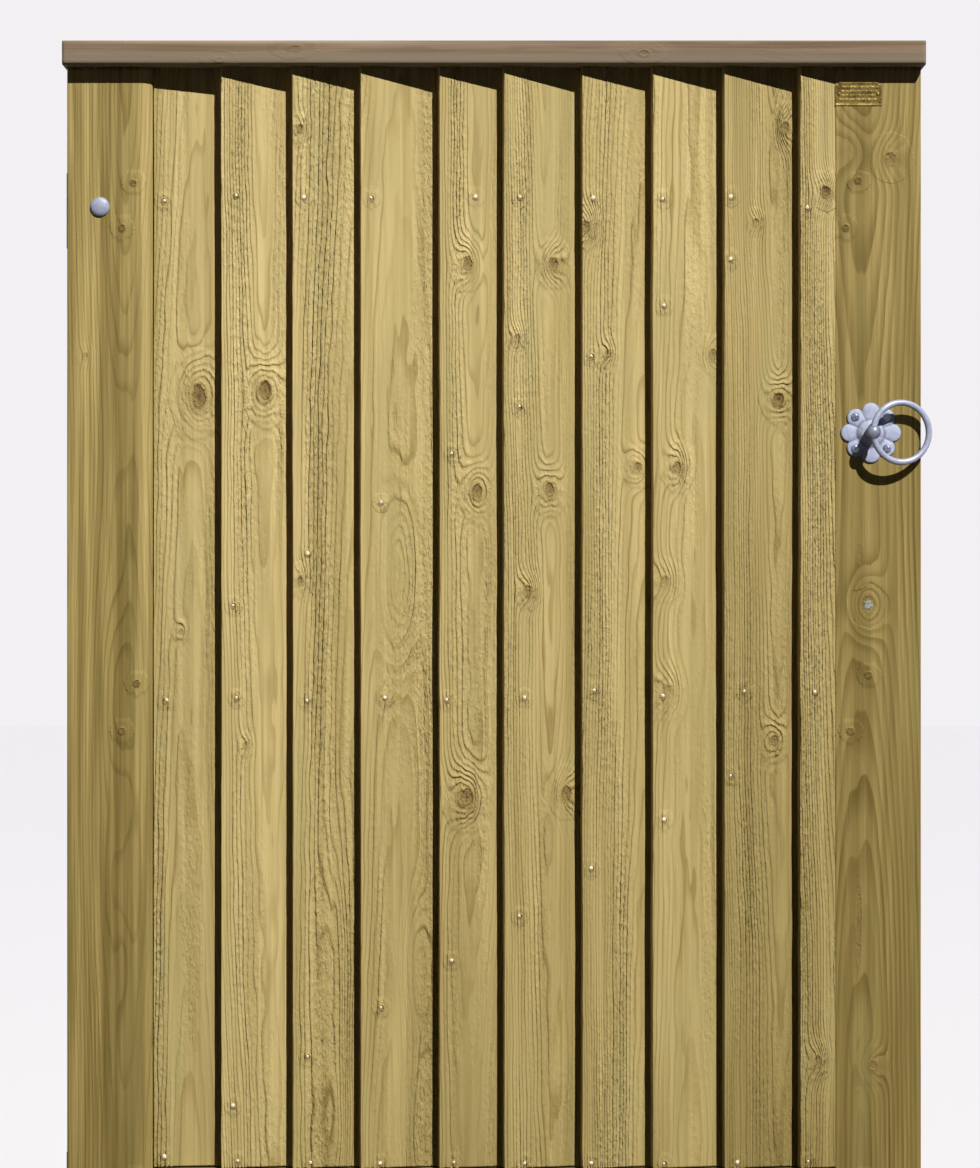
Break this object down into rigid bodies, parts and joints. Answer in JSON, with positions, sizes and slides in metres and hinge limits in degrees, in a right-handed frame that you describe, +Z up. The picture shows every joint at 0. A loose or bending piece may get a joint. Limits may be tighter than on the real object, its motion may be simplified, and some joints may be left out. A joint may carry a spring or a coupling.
{
  "type": "garden gate",
  "caption": "Close-boarded timber garden gate with feather-edge boards on a braced frame, capping rail, ring latch and hook-and-band hinges.",
  "frame": {"origin": "on the ground line under the leaf, midway between its stiles and at the middle of their thickness", "axes": "+X along the leaf to the latch side, -Y out of the boarded front, +Z up"},
  "size_m": [0.9156, 0.1162, 1.26],
  "materials": {
    "sawn_board_timber": "rough-sawn pressure-treated softwood",
    "planed_frame_timber": "planed pressure-treated softwood, slightly green",
    "cap_timber": "weathered brown-grey softwood",
    "peg_timber": "end grain of dowels",
    "galvanised_steel": "hot-dip galvanised",
    "galvanised_casting": "galvanised casting, dull",
    "bright_nail_steel": "galvanised nail heads",
    "plate_brass": "dull embossed sheet"
  },
  "bodies": {
    "post_hooks": {"upper_hinge_hook": "galvanised_steel", "lower_hinge_hook": "galvanised_steel"},
    "spindle": {"latch_spindle": "galvanised_casting", "lifting_arm": "galvanised_steel", "spindle_rivet_washer": "galvanised_steel"},
    "ring": {"ring_handle": "galvanised_casting"},
    "latch_bar": {"latch_bar": "galvanised_steel"},
    "leaf": {"band_screws": "galvanised_steel", "bar_pivot_screw": "galvanised_steel", "bar_spacer": "galvanised_steel", "bottom_rail": "planed_frame_timber", "brace_nails": "bright_nail_steel", "cap_rail": "cap_timber", "cap_screws": "galvanised_steel", "feather_board_01": "sawn_board_timber", "feather_board_02": "sawn_board_timber", "feather_board_03": "sawn_board_timber", "feather_board_04": "sawn_board_timber", "feather_board_05": "sawn_board_timber", "feather_board_06": "sawn_board_timber", "feather_board_07": "sawn_board_timber", "feather_board_08": "sawn_board_timber", "feather_board_09": "sawn_board_timber", "feather_board_10": "sawn_board_timber", "guide_screws": "galvanised_steel", "hinge_coach_bolts": "galvanised_steel", "hinge_nuts": "galvanised_steel", "hinge_stile": "planed_frame_timber", "hinge_washers": "galvanised_steel", "latch_back_plate": "galvanised_steel", "latch_guide": "galvanised_steel", "latch_stile": "planed_frame_timber", "lower_brace": "planed_frame_timber", "lower_hinge_band": "galvanised_steel", "maker_plate": "plate_brass", "middle_rail": "planed_frame_timber", "plate_pins": "bright_nail_steel", "rail_nails": "bright_nail_steel", "ring_rose": "galvanised_casting", "rose_screws": "galvanised_steel", "tenon_pegs": "peg_timber", "top_rail": "planed_frame_timber", "upper_brace": "planed_frame_timber", "upper_hinge_band": "galvanised_steel"}
  },
  "joints": [
    {"name": "gate_swing", "type": "hinge", "parent": "post_hooks", "child": "leaf", "pos_m": [-0.4395, 0.03355, 0.6], "axis": [0, 0, 1], "range_deg": [0, 95]},
    {"name": "ring_turn", "type": "hinge", "parent": "leaf", "child": "spindle", "pos_m": [0.397, 0, 0.8487], "axis": [0, -1, 0], "range_deg": [0, 40]},
    {"name": "ring_swing", "type": "hinge", "parent": "spindle", "child": "ring", "pos_m": [0.397, -0.0465, 0.8487], "axis": [0, 0, -1], "range_deg": [0, 180]},
    {"name": "bar_lift", "type": "hinge", "parent": "leaf", "child": "latch_bar", "pos_m": [0.374, 0.03, 0.874], "axis": [0, -1, 0], "range_deg": [0, 18.9]}
  ],
  "couplings": [
    {"joint": "bar_lift", "follows": "ring_turn", "ratio": 0.47}
  ]
}
